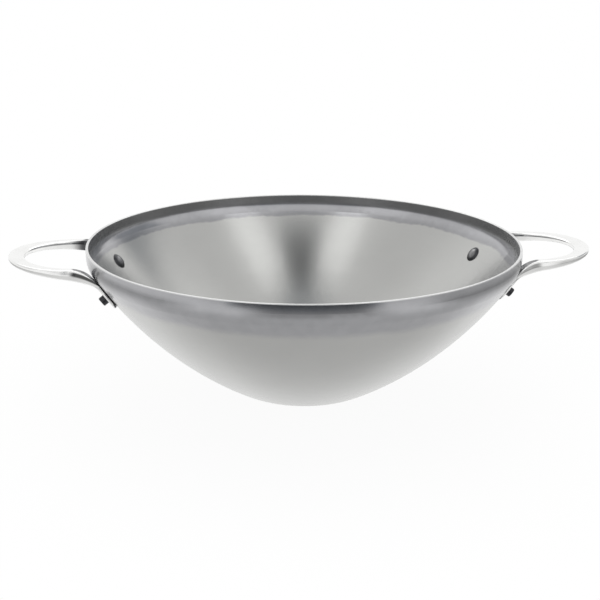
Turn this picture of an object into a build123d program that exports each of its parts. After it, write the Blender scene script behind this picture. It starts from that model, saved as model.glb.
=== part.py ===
from build123d import *
from math import asin, cos, degrees, radians, sin, sqrt
import os

# Round wok in carbon steel with two riveted loop handles. All lengths are in millimetres.
# The origin is the centre of the flat base, +Z points up, and the handles lie along X.

# Bowl: one sheet, with a flat base, a wall that is one long arc, and an upright collar
rim_diameter = 320.0
bowl_height = 116.0
sheet = 2.0
base_corner_diameter = 92.0  # where base and wall would meet if their bend were sharp
base_bend_radius = 50.0
wall_radius = 290.0
collar_height = 11.0  # rim down to where wall and collar would meet if their bend were sharp
collar_bend_radius = 16.0
rim_edge_radius = 0.6

# Handles: a cast bar, thin at the bow and deep at its two arms, that bends down to a foot on the wall
handle_projection = 56.0  # rim to the outer edge of the bow
handle_drop = 8.1  # rim down to the top of the bar at its bend
bow_rise = 1.8  # bend up to the bow, along the top of the bar
bow_thickness = 2.8
bow_width = 11.2
bow_outer_radius = 45.0
arm_width = 6.0  # where the bow runs into an arm
arch_drop = 9.9  # top of the bend down to where underside and foot would meet without a fillet
arch_fillet_radius = 9.0
bend_radius = 20.0
foot_thickness = 2.4
foot_half_width = 10.0
foot_end_length = 8.5  # rivet down to the end of the foot
foot_corner_radius = 7.5
bar_edge_radius = 1.0

# Rivets: a domed head inside the bowl, a shank, and a short cylindrical tail outside
rivet_pair_width = 90.0  # between the centres of one handle's two rivets
rivet_drop = 27.5  # rim down to the rivets, on the wall's outer face
shank_diameter = 5.6
head_diameter = 12.7
head_height = 2.6
tail_diameter = 6.8
tail_height = 3.8
tail_chamfer = 0.5

# Fits
seat_gap = 0.05  # wall to foot
shank_clearance = 0.05  # shank to hole, all round
overrun = 15.0  # how far cutting shapes reach past what they cut
sharp_angle = 15.0  # two faces that turn by more than this, in degrees, meet at a sharp edge

# The wall's arc, in the plane of a meridian, where X is the radius and Y the height
rim_radius = rim_diameter / 2
base_corner = Vector(base_corner_diameter / 2, 0)
collar_corner = Vector(rim_radius, bowl_height - collar_height)
chord = collar_corner - base_corner
centre_distance = sqrt(wall_radius**2 - (chord.length / 2) ** 2)
wall_centre = (base_corner + collar_corner) / 2 + Vector(-chord.Y, chord.X).normalized() * centre_distance


def wall_at(height, outside=0.0):
    """Point at this height on the wall's outer face, or on a face that lies outside it."""
    rise = height - wall_centre.Y
    return Vector(wall_centre.X + sqrt((wall_radius + outside) ** 2 - rise**2), height)


# The rivets go through the wall square to it
rivet_seat = wall_at(bowl_height - rivet_drop)
rivet_normal = (rivet_seat - wall_centre).normalized()
rivet_azimuth = degrees(asin(rivet_pair_width / 2 / rivet_seat.X))
hole_radius = shank_diameter / 2 + shank_clearance


def rivet_plane(azimuth):
    """Plane that touches the wall at a rivet: X runs round the bowl, Y up the wall, Z outwards."""
    radial = Vector(cos(radians(azimuth)), sin(radians(azimuth)), 0)
    return Plane(
        origin=radial * rivet_seat.X + Vector(0, 0, rivet_seat.Y),
        x_dir=Vector(-radial.Y, radial.X, 0),
        z_dir=radial * rivet_normal.X + Vector(0, 0, rivet_normal.Y),
    )


rivet_planes = {
    "rivet_right_front": rivet_plane(-rivet_azimuth),
    "rivet_right_back": rivet_plane(rivet_azimuth),
    "rivet_left_front": rivet_plane(180 + rivet_azimuth),
    "rivet_left_back": rivet_plane(180 - rivet_azimuth),
}


def sharp_edges(part):
    """Edges of the part where two of its faces meet at more than the sharp angle."""
    found = ShapeList()
    for edge in part.edges():
        meeting = [face for face in part.faces() if any(other.is_same(edge) for other in face.edges())]
        if len(meeting) == 2:
            first, second = (face.normal_at(edge @ 0.5) for face in meeting)
            if first.get_angle(second) > sharp_angle:
                found.append(edge)
    return found


# The bowl is a turned solid, opened at the top to leave the sheet, with a hole for each rivet
with BuildPart() as bowl:
    with BuildSketch(Plane.XZ):
        with BuildLine():
            Line((0, 0), base_corner)
            RadiusArc(base_corner, collar_corner, -wall_radius)
            Polyline(collar_corner, (rim_radius, bowl_height), (0, bowl_height), (0, 0))
        make_face()
        fillet(vertices().sort_by_distance(base_corner)[0], base_bend_radius)
        fillet(vertices().sort_by_distance(collar_corner)[0], collar_bend_radius)
    revolve(axis=Axis.Z)
    offset(amount=-sheet, openings=faces().sort_by(Axis.Z)[-1])
    fillet(edges().group_by(Axis.Z)[-1], rim_edge_radius)
    with BuildSketch(*rivet_planes.values()):
        Circle(hole_radius)
    extrude(amount=overrun, both=True, mode=Mode.SUBTRACT)
bowl.part.label = "bowl"

# Section of the handle's bar: it lies on the wall at the foot, bends over and runs out to the bow
bend_height = bowl_height - handle_drop
foot_inner_radius = wall_radius + seat_gap
foot_outer_radius = foot_inner_radius + foot_thickness
bend_rise = bend_height - bend_radius - wall_centre.Y
bend_run = sqrt((foot_inner_radius + bend_radius) ** 2 - bend_rise**2)
bend_start = wall_centre + Vector(bend_run, bend_rise).normalized() * foot_inner_radius
bend_top = Vector(wall_centre.X + bend_run, bend_height)
bow_top = Vector(rim_radius + handle_projection, bend_height + bow_rise)
bow_bottom = bow_top - Vector(0, bow_thickness)
arch_corner = wall_at(bend_height - arch_drop, seat_gap + foot_thickness)
past_bow = bow_bottom + (bow_bottom - arch_corner).normalized() * overrun
foot_end_normal = rivet_normal.rotate(Axis.Z, -degrees(foot_end_length / wall_radius))
foot_end_inner = wall_centre + foot_end_normal * foot_inner_radius
foot_end_outer = wall_centre + foot_end_normal * foot_outer_radius

# Outline of the loop from above, for the half at +Y: each foot stands square to the bowl at its rivet
bow_inner_radius = bow_outer_radius - arm_width
outer_bow_end = Vector(bow_top.X - bow_outer_radius, bow_outer_radius)
inner_bow_end = Vector(bow_top.X - bow_width - bow_inner_radius, bow_inner_radius)
outward = Vector(cos(radians(rivet_azimuth)), sin(radians(rivet_azimuth)))
sideways = Vector(-outward.Y, outward.X)
outer_side = outward * rivet_seat.X + sideways * foot_half_width
inner_side = outward * rivet_seat.X - sideways * foot_half_width
past_foot = -outward * (foot_end_length + overrun)

# The handle is the turned bar cut to the loop's outline, then its edges are rounded
with BuildPart() as handle_right:
    with BuildSketch(Plane.XZ):
        with BuildLine():
            RadiusArc(foot_end_inner, bend_start, -foot_inner_radius)
            RadiusArc(bend_start, bend_top, bend_radius)
            crest = TangentArc(bend_top, bow_top, tangent=(1, 0))
            crest_end = Line(crest @ 1, crest @ 1 + (crest % 1) * overrun)
            Polyline(crest_end @ 1, past_bow, arch_corner)
            RadiusArc(arch_corner, foot_end_outer, foot_outer_radius)
            Line(foot_end_outer, foot_end_inner)
        section = make_face()
        fillet(section.vertices().sort_by_distance(arch_corner)[0], arch_fillet_radius)
    revolve(axis=Axis.Z)
    with BuildSketch():
        with BuildLine():
            Line((bow_top.X - bow_width, 0), (bow_top.X, 0))
            RadiusArc((bow_top.X, 0), outer_bow_end, -bow_outer_radius)
            Spline(outer_bow_end, outer_side, tangents=[(-1, 0), -outward])
            Polyline(outer_side, outer_side + past_foot, inner_side + past_foot, inner_side)
            Spline(inner_side, inner_bow_end, tangents=[outward, (1, 0)])
            RadiusArc(inner_bow_end, (bow_top.X - bow_width, 0), bow_inner_radius)
        make_face()
        mirror(about=Plane.XZ)
    extrude(amount=bowl_height, mode=Mode.INTERSECT)
    foot_ends = faces().filter_by(GeomType.CONE).sort_by(Axis.Z)[:2]
    foot_corners = [edge for end in foot_ends for edge in end.edges().sort_by(SortBy.LENGTH)[:2]]
    fillet(foot_corners, foot_corner_radius)
    fillet(sharp_edges(handle_right), bar_edge_radius)
    with BuildSketch(rivet_planes["rivet_right_front"], rivet_planes["rivet_right_back"]):
        Circle(hole_radius)
    extrude(amount=overrun, both=True, mode=Mode.SUBTRACT)
handle_right.part.label = "handle_right"

with BuildPart() as handle_left:
    add(mirror(handle_right.part, about=Plane.YZ))
handle_left.part.label = "handle_left"

os.makedirs("parts", exist_ok=True)
for piece in (bowl, handle_right, handle_left):
    export_step(piece.part, f"parts/{piece.part.label}.step")

# Each rivet is turned about its own axis, and its head is trimmed to the curve of the wall it sits on
tail_seat = seat_gap + foot_thickness
tail_end = tail_seat + tail_height
for name, plane in rivet_planes.items():
    with BuildPart() as rivet:
        with BuildSketch(Plane(plane.origin, x_dir=plane.x_dir, z_dir=-plane.y_dir)):
            with BuildLine():
                TangentArc((0, -sheet - head_height), (head_diameter / 2, -sheet), tangent=(1, 0))
                Polyline(
                    (head_diameter / 2, -sheet),
                    (shank_diameter / 2, -sheet),
                    (shank_diameter / 2, tail_seat),
                    (tail_diameter / 2, tail_seat),
                    (tail_diameter / 2, tail_end - tail_chamfer),
                    (tail_diameter / 2 - tail_chamfer, tail_end),
                    (0, tail_end),
                    (0, -sheet - head_height),
                )
            make_face()
        revolve(axis=Axis(plane.origin, plane.z_dir))
        add(bowl.part, mode=Mode.SUBTRACT)
    rivet.part.label = name
    export_step(rivet.part, f"parts/{name}.step")
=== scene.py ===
"""Dresses a riveted carbon steel wok in its metals, on a pale table under soft studio light."""

import logging
from dataclasses import dataclass, field
from enum import Enum
from math import cos, pi, radians, sin
from typing import Sequence, Union

import bpy
from mathutils import Matrix, Vector


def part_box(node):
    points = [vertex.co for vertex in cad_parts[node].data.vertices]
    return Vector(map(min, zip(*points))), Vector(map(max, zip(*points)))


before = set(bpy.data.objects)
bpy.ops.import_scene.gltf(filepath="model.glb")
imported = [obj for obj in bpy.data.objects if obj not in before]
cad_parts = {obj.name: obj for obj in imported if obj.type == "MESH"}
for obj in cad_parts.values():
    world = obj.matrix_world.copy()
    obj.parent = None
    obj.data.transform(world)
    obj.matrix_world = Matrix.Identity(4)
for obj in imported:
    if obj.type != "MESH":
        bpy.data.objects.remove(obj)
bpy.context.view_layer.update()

logging.basicConfig(level=logging.INFO, format="%(message)s")
log = logging.getLogger("wok")

MILLIMETRE = 0.001
FILM_WIDTH = 36.0  # of the camera, in millimetres
LEVEL = (1.0, 1.0, 0.0)  # keeps the level part of a vector
WHITE = (1.0, 1.0, 1.0)
MIDDLE = 0.5  # of the values of a noise pattern

Socket = bpy.types.NodeSocket
Colour = tuple[float, float, float]
Source = Union[float, Socket]
Paint = Union[Colour, Socket]


class Step(Enum):
    """What a Math node does with its inputs."""

    ADD = "ADD"
    SUBTRACT = "SUBTRACT"
    MULTIPLY = "MULTIPLY"
    DIVIDE = "DIVIDE"
    ROOT = "SQRT"
    SIZE = "ABSOLUTE"
    LARGER = "MAXIMUM"
    SMALLER = "MINIMUM"
    OVER = "GREATER_THAN"
    HEADING = "ARCTAN2"
    RISE = "ARCSINE"
    DEGREES = "DEGREES"


class VectorStep(Enum):
    """What a Vector Math node does with its inputs."""

    MULTIPLY = "MULTIPLY"
    MULTIPLY_ADD = "MULTIPLY_ADD"
    NORMALIZE = "NORMALIZE"
    DOT = "DOT_PRODUCT"
    LENGTH = "LENGTH"


@dataclass(frozen=True)
class Fade:
    """A smooth change from one value to another, held at its ends.

    Args:
        start: Where the change starts.
        end: Where it ends.
        before: The value up to its start.
        after: The value from its end on.
    """

    start: float
    end: float
    before: float = 0.0
    after: float = 1.0


@dataclass(frozen=True)
class Pattern:
    """A noise pattern, whose values stay mostly within 0.3 and 0.7.

    Args:
        scale: Changes per metre, or across the lines where it is drawn out into lines.
        detail: Fineness of the changes.
        along: Changes per radius along the lines, where it is drawn out.
    """

    scale: float
    detail: float
    along: float = 0.0


@dataclass
class NodeSheet:
    """Lays out the nodes of one material or world.

    Args:
        tree: The node tree that the nodes go into.
    """

    tree: bpy.types.NodeTree

    def put(self, socket: Socket, source: Union[Source, Sequence[float]]) -> None:
        """Links a socket to another one, or sets its own value.

        Args:
            socket: The input of a node.
            source: The output that feeds it, or its value.
        """
        if isinstance(source, Socket):
            self.tree.links.new(source, socket)
        else:
            socket.default_value = source

    def node(self, kind: str, **settings: object) -> bpy.types.Node:
        """Adds a node of one kind.

        Args:
            kind: The node's type name, without its ShaderNode prefix.
            settings: Values for the node's own properties.

        Returns:
            The new node.
        """
        node = self.tree.nodes.new("ShaderNode" + kind)
        for name, value in settings.items():
            setattr(node, name, value)
        return node

    def spot(self) -> Socket:
        """Gives the coordinates of a spot in the wok's own frame."""
        return self.node("TexCoord").outputs["Object"]

    def normal(self) -> Socket:
        """Gives the direction that a spot faces."""
        return self.node("NewGeometry").outputs["Normal"]

    def math(self, step: Step, first: Source, second: Source = 0.0) -> Socket:
        """Adds a Math node.

        Args:
            step: What it does.
            first: Its first input.
            second: Its second input, where it has one.

        Returns:
            Its result.
        """
        node = self.node("Math", operation=step.value)
        self.put(node.inputs[0], first)
        self.put(node.inputs[1], second)
        return node.outputs[0]

    def times(self, first: Source, *others: Source) -> Source:
        """Multiplies numbers.

        Args:
            first: The first number.
            others: The numbers that it is multiplied by.

        Returns:
            The product.
        """
        for other in others:
            first = self.math(Step.MULTIPLY, first, other)
        return first

    def clip(self, value: Source, low: float, high: float) -> Socket:
        """Holds a number within two limits."""
        return self.math(Step.SMALLER, self.math(Step.LARGER, value, low), high)

    def fade(self, value: Source, fade: Fade) -> Socket:
        """Takes a value through a smooth change.

        Args:
            value: What is mapped.
            fade: The change that it goes through.

        Returns:
            The mapped value.
        """
        node = self.node("MapRange", interpolation_type="SMOOTHSTEP")
        names = ("Value", "From Min", "From Max", "To Min", "To Max")
        for name, source in zip(names, (value, fade.start, fade.end, fade.before, fade.after)):
            self.put(node.inputs[name], source)
        return node.outputs["Result"]

    def blend(self, share: Source, first: Source, second: Source) -> Socket:
        """Mixes two numbers.

        Args:
            share: How much of the second number the mix has, from 0 to 1.
            first: The first number.
            second: The second number.

        Returns:
            The mix.
        """
        node = self.node("Mix", data_type="FLOAT")
        self.put(node.inputs["Factor"], share)
        self.put(node.inputs["A"], first)
        self.put(node.inputs["B"], second)
        return node.outputs["Result"]

    def tint(self, share: Source, first: Paint, second: Paint) -> Socket:
        """Mixes two colours.

        Args:
            share: How much of the second colour the mix has, from 0 to 1.
            first: The first colour.
            second: The second colour.

        Returns:
            The mix.
        """
        node = self.node("Mix", data_type="RGBA")
        self.put(node.inputs["Factor"], share)
        for socket, colour in ((node.inputs[6], first), (node.inputs[7], second)):
            self.put(socket, colour if isinstance(colour, Socket) else (*colour, 1.0))
        return node.outputs[2]

    def shade(self, colour: Socket, brightness: Source) -> Socket:
        """Multiplies a colour by a number.

        Args:
            colour: The colour.
            brightness: The number.

        Returns:
            The new colour.
        """
        node = self.node("VectorMath", operation="SCALE")
        self.put(node.inputs[0], colour)
        self.put(node.inputs["Scale"], brightness)
        return node.outputs["Vector"]

    def vector(self, step: VectorStep, *sources: Union[Socket, Sequence[float]]) -> Socket:
        """Adds a Vector Math node.

        Args:
            step: What it does.
            sources: Its inputs.

        Returns:
            Its result, which is a number or a vector.
        """
        node = self.node("VectorMath", operation=step.value)
        for socket, source in zip(node.inputs, sources):
            self.put(socket, source)
        return node.outputs["Value" if step in (VectorStep.DOT, VectorStep.LENGTH) else "Vector"]

    def away(self, spot: Socket) -> tuple[Socket, Socket]:
        """Finds where a spot lies from the wok's axis.

        Args:
            spot: Coordinates in the wok's own frame.

        Returns:
            The level direction away from the axis, and the distance from it.
        """
        level = self.vector(VectorStep.MULTIPLY, spot, LEVEL)
        return self.vector(VectorStep.NORMALIZE, level), self.vector(VectorStep.LENGTH, level)

    def split(self, vector: Socket) -> tuple[Socket, ...]:
        """Takes a vector apart.

        Args:
            vector: The vector.

        Returns:
            Its three parts.
        """
        node = self.node("SeparateXYZ")
        self.put(node.inputs[0], vector)
        return tuple(node.outputs)

    def join(self, x: Source, y: Source, z: Source) -> Socket:
        """Makes a vector of three numbers.

        Args:
            x: Its first part.
            y: Its second part.
            z: Its third part.

        Returns:
            The vector.
        """
        node = self.node("CombineXYZ")
        for socket, source in zip(node.inputs, (x, y, z)):
            self.put(socket, source)
        return node.outputs[0]

    def noise(self, where: Socket, pattern: Pattern) -> Socket:
        """Adds a Noise Texture.

        Args:
            where: Coordinates that the pattern is laid out in.
            pattern: The pattern.

        Returns:
            Its value.
        """
        node = self.node("TexNoise")
        self.put(node.inputs["Vector"], where)
        self.put(node.inputs["Scale"], pattern.scale)
        self.put(node.inputs["Detail"], pattern.detail)
        return node.outputs[0]

    def bump(self, height: Socket, strength: float = 1.0, depth: float = 1.0) -> Socket:
        """Turns a height into a normal.

        Args:
            height: The height.
            strength: How fully it shows, from 0 to 1.
            depth: How many metres a height of 1 stands for.

        Returns:
            The normal.
        """
        node = self.node("Bump")
        self.put(node.inputs["Strength"], strength)
        self.put(node.inputs["Distance"], depth)
        self.put(node.inputs["Height"], height)
        return node.outputs["Normal"]


@dataclass
class Turned:
    """Coordinates on a turned piece, for patterns that follow its making.

    Args:
        sheet: The node sheet of the piece's material.
        slant: How much it counts towards the inside that a face looks up.
    """

    sheet: NodeSheet
    slant: float = 0.3
    spot: Socket = field(init=False)
    away: Socket = field(init=False)
    height: Socket = field(init=False)
    ring: Socket = field(init=False)
    outer: Socket = field(init=False)

    def __post_init__(self) -> None:
        """Works out the height, the way along the section and which side a spot is on."""
        sheet = self.sheet
        self.spot, normal = sheet.spot(), sheet.normal()
        self.away, radius = sheet.away(self.spot)
        self.height = sheet.split(self.spot)[2]
        self.ring = sheet.math(Step.ADD, radius, self.height)
        upward = sheet.times(sheet.split(normal)[2], self.slant)
        outward = sheet.math(Step.SUBTRACT, sheet.vector(VectorStep.DOT, normal, self.away), upward)
        self.outer = sheet.math(Step.OVER, outward, 0.0)

    def lines(self, pattern: Pattern) -> Socket:
        """Draws a noise pattern out into lines round the piece.

        Args:
            pattern: The pattern.

        Returns:
            Its value.
        """
        sheet = self.sheet
        east, north, _ = sheet.split(self.away)
        where = sheet.join(
            sheet.times(east, pattern.along),
            sheet.times(north, pattern.along),
            sheet.times(self.ring, pattern.scale),
        )
        return sheet.noise(where, Pattern(1.0, pattern.detail))


@dataclass(frozen=True)
class Metal:
    """A steel finish, made of a metallic shader with its own grain.

    Args:
        name: Name of the material.
        roughness: Middle of the roughness.
        stretch: How far reflections are drawn out across the polishing lines.
        stretch_turn: The turn, in whole turns, that lays the stretch across those lines.
    """

    name: str
    roughness: float
    stretch: float = 0.0
    stretch_turn: float = 0.25

    def start(self) -> tuple[bpy.types.Material, NodeSheet, bpy.types.Node]:
        """Makes the material with its shader.

        Returns:
            The material, its node sheet and its shader node.
        """
        material = bpy.data.materials.new(self.name)
        material.use_nodes = True
        sheet = NodeSheet(material.node_tree)
        shader = material.node_tree.nodes["Principled BSDF"]
        shader.inputs["Metallic"].default_value = 1.0
        shader.inputs["Roughness"].default_value = self.roughness
        if self.stretch:
            tangent = sheet.node("Tangent", direction_type="RADIAL", axis="Z")
            sheet.put(shader.inputs["Tangent"], tangent.outputs[0])
            shader.inputs["Anisotropic"].default_value = self.stretch
            shader.inputs["Anisotropic Rotation"].default_value = self.stretch_turn
        return material, sheet, shader


@dataclass(frozen=True)
class BareSteel(Metal):
    """Bare carbon sheet: satin where it is brushed, smoother and bluish where it is only rolled.

    Args:
        satin: Colour of the brushed part.
        rolled: Colour of the rolled band below the rim.
        ground: Colour of the rim's edge, which is ground bright.
        ground_edge: The change to it, over the height in metres.
        inner_edge: Height of the band's lower edge inside, in metres.
        outer_edge: Height of the band's lower edge outside, in metres.
        softness: Half the width of that edge inside and outside, in metres.
        drift: How the edge wanders.
        wander: How far it wanders, in metres.
        nick: How the edge is nicked.
        nick_depth: How deep the nicks are, in metres.
        crease: Painted shading on the band inside, over the metres above its edge: darker at the creased
            lower edge, lighter towards the top.
        collar: Painted dark reflection on the collar inside, over the height in metres.
        wax: How fully the thin film of wax covers the sheet, which keeps it from rusting.
        wax_roughness: Roughness of that film.
        fine: The fine polishing lines.
        fine_light: Brightness over the fine lines.
        wide: The wide polishing lines.
        satin_gloss: Share of the roughness over the wide lines, on the brushed part.
        cloud: Large soft spots all over the sheet.
        cloud_light: Brightness over those spots.
        smudge: Small spots on the band.
        smudge_light: Brightness over the smudges.
        rolled_gloss: Share of the roughness over the smudges.
        ridge_depth: Depth of the polishing lines, in metres.
        crown_low: Height where the collar starts to be crowned outside, in metres.
        crown: How strongly it is crowned there, per metre.
    """

    satin: Colour = (0.50, 0.502, 0.488)
    rolled: Colour = (0.40, 0.402, 0.415)
    ground: Colour = (0.62, 0.62, 0.62)
    ground_edge: Fade = Fade(0.1151, 0.1155)
    inner_edge: float = 0.0985
    outer_edge: float = 0.092
    softness: tuple[float, float] = (0.0010, 0.0036)
    drift: Pattern = Pattern(38.0, 3.0)
    wander: float = 0.0045
    nick: Pattern = Pattern(340.0, 3.0)
    nick_depth: float = 0.002025
    # painted shade on the band and painted dark reflection on the collar, both inside
    crease: Fade = Fade(0.0, 0.0065, 0.84, 1.13)
    collar: Fade = Fade(0.1072, 0.1088, 1.0, 0.49)
    wax: float = 0.6
    wax_roughness: float = 0.3
    fine: Pattern = Pattern(2600.0, 3.0, along=9.0)
    fine_light: Fade = Fade(0.2, 0.8, 0.985, 1.015)
    wide: Pattern = Pattern(420.0, 2.0, along=2.0)
    satin_gloss: Fade = Fade(0.25, 0.75, 0.985, 1.015)
    cloud: Pattern = Pattern(16.0, 4.0)
    cloud_light: Fade = Fade(0.25, 0.75, 0.97, 1.03)
    smudge: Pattern = Pattern(120.0, 5.0)
    smudge_light: Fade = Fade(0.3, 0.7, 0.965, 1.035)
    rolled_gloss: Fade = Fade(0.3, 0.7, 0.72, 0.80)
    ridge_depth: float = 0.00000025
    crown_low: float = 0.1096
    crown: float = 9.0

    def make(self) -> bpy.types.Material:
        """Makes the bowl's material.

        Returns:
            The material.
        """
        material, sheet, shader = self.start()
        shader.inputs["Coat Weight"].default_value = self.wax
        shader.inputs["Coat Roughness"].default_value = self.wax_roughness
        turned = Turned(sheet)
        fine, wide = turned.lines(self.fine), turned.lines(self.wide)
        smudge = sheet.noise(turned.spot, self.smudge)
        over = self.above_edge(turned)
        soft = sheet.blend(turned.outer, *self.softness)
        band = sheet.fade(sheet.math(Step.DIVIDE, over, soft), Fade(-1.0, 1.0))
        sheet.put(shader.inputs["Base Color"], self.paint(turned, band, over, fine, smudge))
        gloss = sheet.blend(band, sheet.fade(wide, self.satin_gloss), sheet.fade(smudge, self.rolled_gloss))
        sheet.put(shader.inputs["Roughness"], sheet.times(gloss, self.roughness))
        sheet.put(shader.inputs["Normal"], sheet.bump(self.relief(turned, fine, wide)))
        return material

    def above_edge(self, turned: Turned) -> Socket:
        """Measures how far a spot lies above the band's wandering lower edge.

        Args:
            turned: Coordinates on the bowl.

        Returns:
            The distance, in metres.
        """
        sheet = turned.sheet
        edge = sheet.blend(turned.outer, self.inner_edge, self.outer_edge)
        over = sheet.math(Step.SUBTRACT, turned.height, edge)
        for pattern, reach in ((self.drift, self.wander), (self.nick, self.nick_depth)):
            swing = sheet.math(Step.SUBTRACT, sheet.noise(turned.spot, pattern), MIDDLE)
            over = sheet.math(Step.ADD, over, sheet.times(swing, reach))
        return over

    def paint(self, turned: Turned, band: Socket, over: Socket, fine: Socket, smudge: Socket) -> Socket:
        """Works out the colour of the sheet.

        Args:
            turned: Coordinates on the bowl.
            band: How much a spot lies on the rolled band.
            over: How far it lies above the band's lower edge, in metres.
            fine: Value of the fine lines.
            smudge: Value of the smudges.

        Returns:
            The colour.
        """
        sheet = turned.sheet
        # Painted shade inside: the band darkens towards its creased lower edge, and the collar above takes a
        # painted dark reflection.
        painted_shade = sheet.times(sheet.fade(turned.height, self.collar), sheet.fade(over, self.crease))
        inside = sheet.blend(band, 1.0, painted_shade)
        light = sheet.times(
            sheet.fade(sheet.noise(turned.spot, self.cloud), self.cloud_light),
            sheet.fade(fine, self.fine_light),
            sheet.blend(band, 1.0, sheet.fade(smudge, self.smudge_light)),
            sheet.blend(turned.outer, inside, 1.0),
        )
        colour = sheet.shade(sheet.tint(band, self.satin, self.rolled), light)
        return sheet.tint(sheet.fade(turned.height, self.ground_edge), colour, self.ground)

    def relief(self, turned: Turned, fine: Socket, wide: Socket) -> Socket:
        """Works out the relief of the polishing lines and the crowned collar.

        Args:
            turned: Coordinates on the bowl.
            fine: Value of the fine lines.
            wide: Value of the wide lines.

        Returns:
            The relief, in metres.
        """
        sheet = turned.sheet
        ridges = sheet.times(sheet.math(Step.ADD, fine, wide), self.ridge_depth)
        rise = sheet.math(Step.LARGER, sheet.math(Step.SUBTRACT, turned.height, self.crown_low), 0.0)
        return sheet.math(Step.SUBTRACT, ridges, sheet.times(rise, rise, turned.outer, self.crown))


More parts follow.
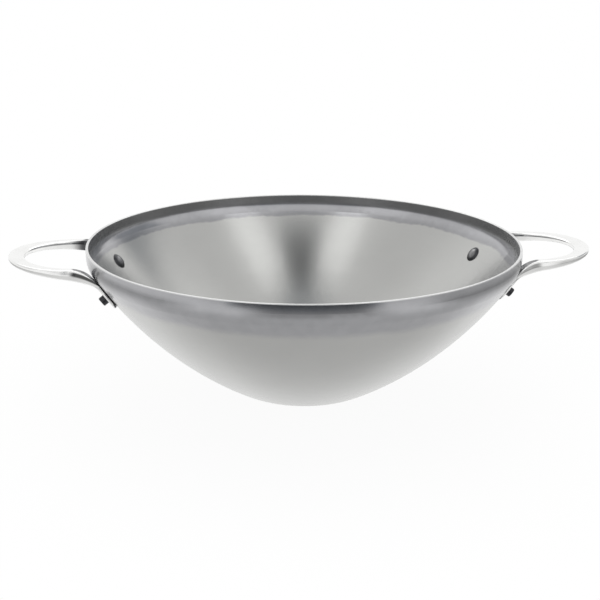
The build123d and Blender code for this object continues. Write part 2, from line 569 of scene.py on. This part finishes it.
@dataclass(frozen=True)
class PolishedSteel(Metal):
    """Cast stainless steel, polished by hand, so that its faces are a little wavy.

    Args:
        bright: Colour of the polished metal.
        wear_and_highlight: Colour where it has been handled.
        cloud: Spots where it has been handled.
        handled: The change to the worn colour over those spots.
        gloss: Share of the roughness over those spots.
        fine: Fine specks all over the metal.
        fine_light: Brightness over the specks.
        fine_share: Depth of the specks, as a share of the waves.
        wave: The waves that polishing by hand leaves.
        wave_depth: Depth of the waves, in metres.
        inner_tilt: How far the upper part of a bar's inner side leans back, in metres per metre.
        outer_tilt: The same on a bar's outer side, over the metres past the bend.
        undercut: How far the lower part of both sides turns down, in metres per metre.
        inner_turn: Share of the bar's depth where its inner side starts to turn down.
        outer_turn: The same on the outer side.
        turn_span: Share of the depth that the turn takes.
        bend: Distance from the wok's axis to where the bar bends down, in metres.
        bend_radius: Radius of the bar's top there, in metres.
        bend_span: Share of that radius over which the top is followed down the bend.
        top: Height of the bar's top there, in metres.
        rise: How fast the top rises outwards, per metre.
        under: Height of the bar's underside there, in metres.
        slope: How fast the underside rises, in metres per metre.
        least_depth: Least depth of the bar, in metres.
        painted_shade: Colour painted next to the bowl where the bend turns towards it, standing in for the
            bowl's dark reflection and the shadow in the gap.
        painted_shade_facing: How much of that painted shade a face takes, over how far it looks away from the
            axis.
        painted_shade_reach: The same, over the distance from the axis in metres.
        cheek: Brightness of the painted shade on the bend's outer cheeks.
        cheek_out: Where a cheek ends, over the metres past the bend.
        cheek_top: Where a cheek starts, over the share of the bar's depth.
        cheek_foot: Where a cheek ends below, over the same share.
        cheek_side: How much of it the left and the right handle keep, over the metres to the right.
    """

    bright: Colour = (0.90, 0.90, 0.89)
    wear_and_highlight: Colour = (0.85, 0.85, 0.84)
    cloud: Pattern = Pattern(55.0, 3.0)
    handled: Fade = Fade(0.35, 0.7)
    gloss: Fade = Fade(0.3, 0.7, 0.85, 1.25)
    fine: Pattern = Pattern(900.0, 4.0)
    fine_light: Fade = Fade(0.25, 0.75, 0.985, 1.015)
    fine_share: float = 0.006
    wave: Pattern = Pattern(70.0, 1.0)
    wave_depth: float = 0.0004
    inner_tilt: float = 0.12
    outer_tilt: Fade = Fade(-0.007, 0.002, 0.12, 0.03)
    undercut: float = 0.28
    inner_turn: float = 0.34
    outer_turn: float = 0.46
    turn_span: float = 0.10
    bend: float = 0.1729
    bend_radius: float = 0.020
    bend_span: float = 0.92
    top: float = 0.1079
    rise: float = 0.967
    under: float = 0.1002
    slope: float = 0.155
    least_depth: float = 0.002
    # painted shade: dark reflection of the bowl and shadow in the gap at the bend
    painted_shade: Colour = (0.10, 0.10, 0.105)
    painted_shade_facing: Fade = Fade(-0.13, -0.02, 1.0, 0.0)
    painted_shade_reach: Fade = Fade(0.171, 0.180, 1.0, 0.0)
    # painted shade on the outer cheeks of the bend
    cheek: float = 0.11
    cheek_out: Fade = Fade(-0.002, 0.003, 1.0, 0.0)
    cheek_top: Fade = Fade(0.10, 0.24)
    cheek_foot: Fade = Fade(0.46, 0.64, 1.0, 0.0)
    cheek_side: Fade = Fade(-0.02, 0.02, 1.0, 0.5)

    def make(self) -> bpy.types.Material:
        """Makes the handles' material.

        Returns:
            The material.
        """
        material, sheet, shader = self.start()
        spot = sheet.spot()
        cloud, fine = sheet.noise(spot, self.cloud), sheet.noise(spot, self.fine)
        facets, cheek = self.facets(sheet, spot)
        colour = sheet.tint(sheet.fade(cloud, self.handled), self.bright, self.wear_and_highlight)
        # Painted shade where the bend turns towards the bowl.
        colour = sheet.tint(self.painted_bend_shade(sheet, spot), colour, self.painted_shade)
        # The cheeks of the bend are darkened with painted shade.
        light = sheet.times(sheet.fade(fine, self.fine_light), sheet.blend(cheek, 1.0, self.cheek))
        sheet.put(shader.inputs["Base Color"], sheet.shade(colour, light))
        sheet.put(shader.inputs["Roughness"], sheet.times(sheet.fade(cloud, self.gloss), self.roughness))
        waves = sheet.math(Step.ADD, sheet.noise(spot, self.wave), sheet.times(fine, self.fine_share))
        relief = sheet.math(Step.ADD, sheet.times(waves, self.wave_depth), facets)
        sheet.put(shader.inputs["Normal"], sheet.bump(relief))
        return material

    def painted_bend_shade(self, sheet: NodeSheet, spot: Socket) -> Socket:
        """Finds the faces next to the bowl, where the bend turns towards it, which get painted shade.

        Args:
            sheet: The node sheet of the material.
            spot: Coordinates in the wok's own frame.

        Returns:
            A number from 0 to 1.
        """
        away, distance = sheet.away(spot)
        facing = sheet.vector(VectorStep.DOT, away, sheet.normal())
        return sheet.times(sheet.fade(facing, self.painted_shade_facing), sheet.fade(distance, self.painted_shade_reach))

    def section(self, sheet: NodeSheet, out: Socket, height: Socket) -> tuple[Socket, Socket]:
        """Works out where a spot lies between the bar's top and its underside.

        Args:
            sheet: The node sheet of the material.
            out: How far the spot lies past the bend, in metres.
            height: Its height, in metres.

        Returns:
            The bar's depth there, in metres, and the share of it above the spot.
        """
        past = sheet.math(Step.LARGER, out, 0.0)
        short = sheet.clip(out, -self.bend_radius * self.bend_span, 0.0)
        fall = sheet.math(Step.SUBTRACT, self.bend_radius**2, sheet.times(short, short))
        fall = sheet.math(Step.SUBTRACT, sheet.math(Step.ROOT, fall), self.bend_radius)
        top = sheet.math(Step.ADD, sheet.times(past, past, self.rise), fall)
        top = sheet.math(Step.ADD, top, self.top)
        under = sheet.math(Step.ADD, sheet.times(out, self.slope), self.under)
        depth = sheet.math(Step.LARGER, sheet.math(Step.SUBTRACT, top, under), self.least_depth)
        share = sheet.math(Step.DIVIDE, sheet.math(Step.SUBTRACT, top, height), depth)
        return depth, sheet.clip(share, 0.0, 1.0)

    def facets(self, sheet: NodeSheet, spot: Socket) -> tuple[Socket, Socket]:
        """Works out the relief of the bar's sides, which lean back above and turn down below.

        Args:
            sheet: The node sheet of the material.
            spot: Coordinates in the wok's own frame.

        Returns:
            The relief, in metres, and how much a spot lies on a cheek of the bend, where shade is painted.
        """
        x, y, z = sheet.split(spot)
        out = sheet.math(Step.SUBTRACT, sheet.away(spot)[1], self.bend)
        depth, share = self.section(sheet, out, z)
        outside = sheet.math(Step.OVER, sheet.times(sheet.split(sheet.normal())[1], y), 0.0)
        tilt = sheet.blend(outside, self.inner_tilt, sheet.fade(out, self.outer_tilt))
        start = sheet.blend(outside, self.inner_turn, self.outer_turn)
        over = sheet.math(Step.LARGER, sheet.math(Step.SUBTRACT, share, start), 0.0)
        beyond = sheet.math(Step.LARGER, sheet.math(Step.SUBTRACT, over, self.turn_span), 0.0)
        turned = sheet.math(Step.SUBTRACT, sheet.times(over, over), sheet.times(beyond, beyond))
        sharpness = sheet.math(Step.DIVIDE, sheet.math(Step.ADD, tilt, self.undercut), 2 * self.turn_span)
        lean = sheet.math(Step.SUBTRACT, sheet.times(tilt, share), sheet.times(sharpness, turned))
        # mask of the painted shade on the outer cheeks of the bend
        cheek = sheet.times(
            outside,
            sheet.fade(out, self.cheek_out),
            sheet.fade(share, self.cheek_top),
            sheet.fade(share, self.cheek_foot),
            sheet.fade(x, self.cheek_side),
        )
        return sheet.times(lean, depth), cheek


@dataclass(frozen=True)
class RivetSteel(Metal):
    """Dark steel of the rivets, upset cold, with a painted highlight that makes their tops lighter.

    Args:
        dark: Colour of the untouched metal.
        crest_highlight: Colour of the painted highlight on the tops.
        axis: Part of a rivet's axis that points away from the wok's own, and its part upwards.
        crest: How much of the painted highlight a face takes, over how squarely it looks along the axis.
        patch: Spots over which the painted highlight and the roughness change.
        patch_highlight: How much of the painted highlight shows, over those spots.
        patch_gloss: Share of the roughness over those spots.
        pit: The pits of the metal.
        pit_light: Brightness over the pits.
        pit_strength: How fully the pits show.
        pit_depth: Depth of the pits, in metres.
    """

    dark: Colour = (0.055, 0.056, 0.06)
    # colour of the painted highlight on the rivet tops
    crest_highlight: Colour = (0.26, 0.26, 0.265)
    axis: tuple[float, float] = (0.811, -0.585)
    crest: Fade = Fade(0.84, 0.95)
    patch: Pattern = Pattern(260.0, 4.0)
    patch_highlight: Fade = Fade(0.3, 0.6, 0.45, 1.0)
    patch_gloss: Fade = Fade(0.3, 0.7, 1.2, 0.8)
    pit: Pattern = Pattern(1500.0, 3.0)
    pit_light: Fade = Fade(0.3, 0.7, 0.94, 1.06)
    pit_strength: float = 0.3
    pit_depth: float = 0.0001

    def make(self) -> bpy.types.Material:
        """Makes the rivets' material.

        Returns:
            The material.
        """
        material, sheet, shader = self.start()
        spot = sheet.spot()
        patch, pits = sheet.noise(spot, self.patch), sheet.noise(spot, self.pit)
        out, up = self.axis
        lean = sheet.vector(VectorStep.MULTIPLY_ADD, sheet.away(spot)[0], (out, out, out), (0.0, 0.0, up))
        facing = sheet.math(Step.SIZE, sheet.vector(VectorStep.DOT, lean, sheet.normal()))
        # Painted highlight: the rivet tops are lighter where they face along the axis.
        wear_and_highlight = sheet.times(sheet.fade(facing, self.crest), sheet.fade(patch, self.patch_highlight))
        colour = sheet.shade(sheet.tint(wear_and_highlight, self.dark, self.crest_highlight), sheet.fade(pits, self.pit_light))
        sheet.put(shader.inputs["Base Color"], colour)
        gloss = sheet.times(sheet.fade(patch, self.patch_gloss), self.roughness)
        sheet.put(shader.inputs["Roughness"], gloss)
        sheet.put(shader.inputs["Normal"], sheet.bump(pits, self.pit_strength, self.pit_depth))
        return material


@dataclass
class CadPiece:
    """A piece that keeps its CAD shape and gets a finish.

    Args:
        node: Name of the CAD node.
        finish: The material that it gets.
    """

    node: str
    finish: bpy.types.Material

    def dress(self) -> None:
        """Puts the finish into every material slot of the piece, and reports the piece."""
        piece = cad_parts[self.node]
        if not piece.material_slots:
            piece.data.materials.append(self.finish)
        for place in piece.material_slots:
            place.material = self.finish
        low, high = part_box(self.node)
        size = " x ".join(f"{length / MILLIMETRE:.0f}" for length in high - low)
        log.info("%s: %s mm, %s", self.node, size, self.finish.name)


@dataclass
class Wok:
    """The whole wok: a bowl, two loop handles and four rivets.

    Args:
        bowl_finish: Finish of the bowl.
        handle_finish: Finish of both handles.
        rivet_finish: Finish of the four rivets.
    """

    bowl_finish: BareSteel
    handle_finish: PolishedSteel
    rivet_finish: RivetSteel

    def build(self) -> list[CadPiece]:
        """Makes the finishes and gives each piece its own.

        Returns:
            The pieces, bowl first.
        """
        bare, polished, dark = self.bowl_finish.make(), self.handle_finish.make(), self.rivet_finish.make()
        pieces = [CadPiece("bowl", bare)]
        pieces += [CadPiece(name, polished) for name in ("handle_left", "handle_right")]
        pieces += [
            CadPiece(f"rivet_{side}_{end}", dark) for side in ("left", "right") for end in ("front", "back")
        ]
        for piece in pieces:
            piece.dress()
        return pieces


@dataclass(frozen=True)
class Bearing:
    """A direction from the wok, as seen by somebody who stands at the camera.

    Args:
        turn: Degrees round from the camera, positive to the right.
        rise: Degrees above the horizon.
    """

    turn: float
    rise: float

    def away(self, heading: float) -> Vector:
        """Gives the unit vector of this direction.

        Args:
            heading: Degrees that the camera stands round from the wok's front.

        Returns:
            The direction in the wok's own frame.
        """
        turn = radians(self.turn + heading)
        flat = cos(radians(self.rise))
        return Vector((flat * sin(turn), -flat * cos(turn), sin(radians(self.rise))))


@dataclass(frozen=True)
class Softbox:
    """A square studio lamp with a white cloth front.

    Args:
        name: Name of the lamp.
        bearing: Where it stands.
        distance: How far from the wok, in metres.
        width: Width of its front, in metres.
        height: Height of its front, in metres.
        radiance: How bright its front is, where a white wall in full light is 1.
    """

    name: str
    bearing: Bearing
    distance: float
    width: float
    height: float
    radiance: float

    def build(self, heading: float, target: Vector) -> None:
        """Adds the lamp, aimed at the wok.

        Args:
            heading: Degrees that the camera stands round from the wok's front.
            target: The point that the lamp faces.
        """
        lamp = bpy.data.lights.new(self.name, "AREA")
        lamp.shape = "RECTANGLE"
        lamp.size, lamp.size_y = self.width, self.height
        lamp.energy = self.radiance * self.width * self.height * pi
        away = self.bearing.away(heading)
        placed = bpy.data.objects.new(self.name, lamp)
        placed.location = target + away * self.distance
        placed.rotation_euler = away.to_track_quat("Z", "Y").to_euler()
        bpy.context.scene.collection.objects.link(placed)
        log.info("%s: %.1f by %.1f m", self.name, self.width, self.height)


@dataclass(frozen=True)
class Patch:
    """A part of the room that is lighter or darker than the rest.

    Args:
        turn: Degrees round from the camera to its middle.
        half: Half its width, in degrees.
        low: Degrees above the horizon where it starts.
        high: Degrees above the horizon where it ends.
        edge: Degrees over which it fades out.
        radiance: Its own brightness.
    """

    turn: float
    half: float
    low: float
    high: float
    edge: float
    radiance: float

    def mask(self, sheet: NodeSheet, turn: Socket, rise: Socket) -> Socket:
        """Says how much a direction lies in the patch.

        Args:
            sheet: The world's node sheet.
            turn: Degrees round from the camera.
            rise: Degrees above the horizon.

        Returns:
            A number from 0 to 1.
        """
        aside = sheet.math(Step.SIZE, sheet.math(Step.SUBTRACT, turn, self.turn))
        soft = self.edge / 2
        return sheet.times(
            sheet.fade(aside, Fade(self.half - soft, self.half + soft, 1.0, 0.0)),
            sheet.fade(rise, Fade(self.low - soft, self.low + soft)),
            sheet.fade(rise, Fade(self.high - soft, self.high + soft, 1.0, 0.0)),
        )


class Way(Enum):
    """A way to measure where a spot lies on the table top."""

    OUT = "metres from the middle of the wok"
    ROUND = "degrees round from the wok's front, either way"
    RIGHT = "metres to the right"
    BACK = "metres to the back"


@dataclass(frozen=True)
class Shade:
    """A part of the table top that shows dimmer in metal.

    Args:
        limits: How much a spot lies in it, as fades that are multiplied.
        level: Brightness inside it.
        levels: Changes of that brightness, over the metres from the middle of the wok.
    """

    limits: tuple[tuple[Way, Fade], ...]
    level: float = 1.0
    levels: tuple[Fade, ...] = ()

    def dim(self, sheet: NodeSheet, places: dict[Way, Socket]) -> Socket:
        """Works out the brightness that the shade leaves.

        Args:
            sheet: The table's node sheet.
            places: Where a spot lies.

        Returns:
            The brightness, which is 1 outside the shade.
        """
        within = sheet.times(*(sheet.fade(places[way], fade) for way, fade in self.limits))
        inside = sheet.times(self.level, *(sheet.fade(places[Way.OUT], fade) for fade in self.levels))
        return sheet.blend(within, 1.0, inside)


@dataclass(frozen=True)
class Table:
    """The plain pale table top under the wok.

    Args:
        width: From left to right, in metres.
        front: From the middle of the wok to the edge near the camera, in metres.
        back: From the middle of the wok to the far edge, in metres.
        colour: Colour of the top.
        glow: Share of the top that shows as plain white, over the metres from the middle of the wok.
        shades: Parts of it that show dimmer in metal.
    """

    width: float
    front: float
    back: float
    colour: Colour
    glow: Fade
    shades: tuple[Shade, ...]

    def build(self, heading: float) -> bpy.types.Object:
        """Adds the table top, with its material.

        Args:
            heading: Degrees that the camera stands round from the wok's front.

        Returns:
            The table top.
        """
        bpy.ops.object.select_all(action="DESELECT")
        middle = (self.back - self.front) / 2
        bpy.ops.mesh.primitive_plane_add(size=1.0, location=(0.0, middle, 0.0))
        top = bpy.context.object
        top.name = "table_top"
        top.scale = (self.width, self.front + self.back, 1.0)
        bpy.ops.object.transform_apply(location=True, rotation=False, scale=True)
        top.data.transform(Matrix.Rotation(radians(heading), 4, "Z"))
        top.data.materials.append(self.surface())
        return top

    def surface(self) -> bpy.types.Material:
        """Makes the table's material, which shows white around the wok and keeps its shadow.

        Returns:
            The material.
        """
        material = bpy.data.materials.new("pale_table")
        material.use_nodes = True
        sheet = NodeSheet(material.node_tree)
        material.node_tree.nodes.remove(material.node_tree.nodes["Principled BSDF"])
        paint = sheet.node("BsdfDiffuse")
        paint.inputs["Color"].default_value = (*self.colour, 1.0)
        path = sheet.node("LightPath").outputs
        mirrored = sheet.math(Step.LARGER, path["Is Glossy Ray"], path["Is Transmission Ray"])
        places = self.places(sheet)
        dimmed = sheet.times(*(shade.dim(sheet, places) for shade in self.shades))
        white = sheet.node("Emission")
        sheet.put(white.inputs["Strength"], sheet.blend(mirrored, 1.0, dimmed))
        seen = sheet.times(path["Is Camera Ray"], sheet.fade(places[Way.OUT], self.glow))
        both = sheet.node("MixShader")
        sheet.put(both.inputs[0], sheet.math(Step.ADD, seen, mirrored))
        sheet.put(both.inputs[1], paint.outputs[0])
        sheet.put(both.inputs[2], white.outputs[0])
        sheet.put(material.node_tree.nodes["Material Output"].inputs["Surface"], both.outputs[0])
        return material

    def places(self, sheet: NodeSheet) -> dict[Way, Socket]:
        """Measures where a spot lies, in every way.

        Args:
            sheet: The table's node sheet.

        Returns:
            Each way with its measure.
        """
        spot = sheet.spot()
        x, y, _ = sheet.split(spot)
        turn = sheet.math(Step.HEADING, sheet.math(Step.SIZE, x), sheet.times(y, -1.0))
        out = sheet.vector(VectorStep.LENGTH, spot)
        return {Way.OUT: out, Way.ROUND: sheet.math(Step.DEGREES, turn), Way.RIGHT: x, Way.BACK: y}


@dataclass(frozen=True)
class Camera:
    """The camera at the photograph's angle.

    Args:
        heading: Degrees that it stands round from the wok's front.
        drop: Degrees that it looks down.
        distance: From the camera to the point that it aims at, in metres.
        aside: How far that point lies right of the wok's axis, in metres.
        height: Height of that point, in metres.
        roll: Degrees that the picture is turned.
        lens: Focal length, in millimetres.
    """

    heading: float
    drop: float
    distance: float
    aside: float
    height: float
    roll: float
    lens: float

    def build(self) -> bpy.types.Object:
        """Adds the camera and makes it the scene's own.

        Returns:
            The camera.
        """
        drop, roll = radians(self.drop), radians(self.roll)
        forward = Vector((0.0, cos(drop), -sin(drop)))
        right = Vector((1.0, 0.0, 0.0))
        up = right.cross(forward)
        right, up = right * cos(roll) + up * sin(roll), up * cos(roll) - right * sin(roll)
        place = Vector((self.aside, 0.0, self.height)) - forward * self.distance
        turn = Matrix.Rotation(radians(self.heading), 4, "Z")
        axes = Matrix((right, up, -forward)).transposed().to_4x4()
        data = bpy.data.cameras.new("camera")
        data.sensor_width = FILM_WIDTH
        data.lens = self.lens
        camera = bpy.data.objects.new("camera", data)
        bpy.context.scene.collection.objects.link(camera)
        camera.matrix_world = turn @ Matrix.Translation(place) @ axes
        bpy.context.scene.camera = camera
        return camera


@dataclass(frozen=True)
class Studio:
    """The room, its lamps, the table and the camera.

    Args:
        camera: The camera.
        table: The table top.
        lamps: The softboxes.
        room: Brightness of the room.
        patches: Lighter and darker parts of the room, the later ones on top.
        target: The point that the lamps face.
        dim: Colour of the room's darkest parts.
    """

    camera: Camera
    table: Table
    lamps: tuple[Softbox, ...]
    room: float
    patches: tuple[Patch, ...]
    target: tuple[float, float, float] = (0.0, 0.0, 0.06)
    dim: Colour = (0.80, 0.88, 1.0)

    def build(self) -> None:
        """Adds everything around the wok."""
        self.camera.build()
        self.table.build(self.camera.heading)
        for lamp in self.lamps:
            lamp.build(self.camera.heading, Vector(self.target))
        self.light_room()
        view = bpy.context.scene.view_settings
        view.view_transform = "Standard"

    def light_room(self) -> None:
        """Makes the world: white to the camera, and a soft room to the metal and the table."""
        world = bpy.data.worlds.new("room")
        bpy.context.scene.world = world
        world.use_nodes = True
        sheet = NodeSheet(world.node_tree)
        background = world.node_tree.nodes["Background"]
        towards = sheet.node("VectorRotate", rotation_type="Z_AXIS")
        sheet.put(towards.inputs["Vector"], sheet.node("TexCoord").outputs["Generated"])
        towards.inputs["Angle"].default_value = -radians(self.camera.heading)
        x, y, z = sheet.split(towards.outputs[0])
        turn = sheet.math(Step.DEGREES, sheet.math(Step.HEADING, x, sheet.times(y, -1.0)))
        rise = sheet.math(Step.DEGREES, sheet.math(Step.RISE, z))
        brightness: Source = self.room
        for patch in self.patches:
            brightness = sheet.blend(patch.mask(sheet, turn, rise), brightness, patch.radiance)
        seen = sheet.node("LightPath").outputs["Is Camera Ray"]
        sheet.put(background.inputs["Strength"], sheet.blend(seen, brightness, 1.0))
        full = sheet.math(Step.LARGER, seen, sheet.fade(brightness, Fade(0.0, self.room)))
        sheet.put(background.inputs["Color"], sheet.tint(full, self.dim, WHITE))


def plan_studio() -> Studio:
    """Plans the studio that the photograph's reflections show.

    Returns:
        The studio, not built yet.
    """
    before_wok = Shade(
        limits=((Way.OUT, Fade(0.19, 0.40, 1.0, 0.0)), (Way.BACK, Fade(-0.13, -0.015, 1.0, 0.0))), level=0.69
    )
    flanks = Shade(
        limits=(
            (Way.ROUND, Fade(45.0, 70.0)),
            (Way.ROUND, Fade(115.0, 145.0, 1.0, 0.0)),
            (Way.OUT, Fade(0.50, 0.58, 1.0, 0.0)),
        ),
        levels=(Fade(0.20, 0.42, 0.93, 0.52),),
    )
    towards_camera = Shade(
        limits=((Way.ROUND, Fade(16.0, 34.0, 1.0, 0.0)),),
        levels=(Fade(0.22, 0.37, 1.0, 0.48), Fade(0.42, 0.62, 1.0, 0.55)),
    )
    right_side = Shade(
        limits=(
            (Way.RIGHT, Fade(0.20, 0.40)),
            (Way.OUT, Fade(0.30, 0.47)),
            (Way.ROUND, Fade(36.0, 62.0)),
            (Way.ROUND, Fade(112.0, 138.0, 1.0, 0.0)),
        ),
        level=0.62,
    )
    front_lamps = tuple(
        Softbox(name, Bearing(turn, 62.0), distance=1.6, width=0.40, height=0.70, radiance=0.68)
        for name, turn in (("softbox_left", -40.0), ("softbox_right", 52.0))
    )
    back_lamp = Softbox(
        "softbox_back", Bearing(180.0, 45.0), distance=1.8, width=1.6, height=0.9, radiance=1.2
    )
    back_walls = tuple(
        Patch(turn=turn, half=70.0, low=-90.0, high=60.0, edge=40.0, radiance=1.0) for turn in (180.0, -180.0)
    )
    ceiling = Patch(turn=0.0, half=400.0, low=78.0, high=100.0, edge=12.0, radiance=0.45)
    overhead_arm = Patch(turn=4.0, half=19.5, low=58.0, high=79.0, edge=6.0, radiance=0.02)
    screens = tuple(
        Patch(turn=turn, half=14.0, low=0.0, high=46.0, edge=12.0, radiance=1.0) for turn in (-48.0, 48.0)
    )
    right_wall = Patch(turn=116.0, half=19.0, low=4.0, high=31.0, edge=12.0, radiance=0.40)
    below_camera = Patch(turn=0.0, half=36.0, low=-80.0, high=4.0, edge=12.0, radiance=0.05)
    floor_before = Patch(turn=0.0, half=36.0, low=-80.0, high=-10.0, edge=8.0, radiance=0.22)
    return Studio(
        camera=Camera(
            heading=-5.32, drop=17.49, distance=0.825, aside=-0.00278, height=0.0685, roll=0.292, lens=65.34
        ),
        table=Table(
            width=2.4,
            front=0.60,
            back=2.0,
            colour=(0.9, 0.9, 0.9),
            glow=Fade(0.12, 0.32, 0.94, 1.0),
            shades=(before_wok, flanks, towards_camera, right_side),
        ),
        lamps=(*front_lamps, back_lamp),
        room=0.80,
        patches=(*back_walls, ceiling, overhead_arm, *screens, right_wall, below_camera, floor_before),
    )


def main() -> None:
    """Builds the wok and its studio."""
    wok = Wok(
        bowl_finish=BareSteel("bare_carbon_steel", roughness=0.245, stretch=0.25),
        handle_finish=PolishedSteel("polished_cast_steel", roughness=0.11),
        rivet_finish=RivetSteel("dark_rivet_steel", roughness=0.34),
    )
    pieces = wok.build()
    plan_studio().build()
    log.info("%d pieces dressed", len(pieces))


if __name__ == "__main__":
    main()
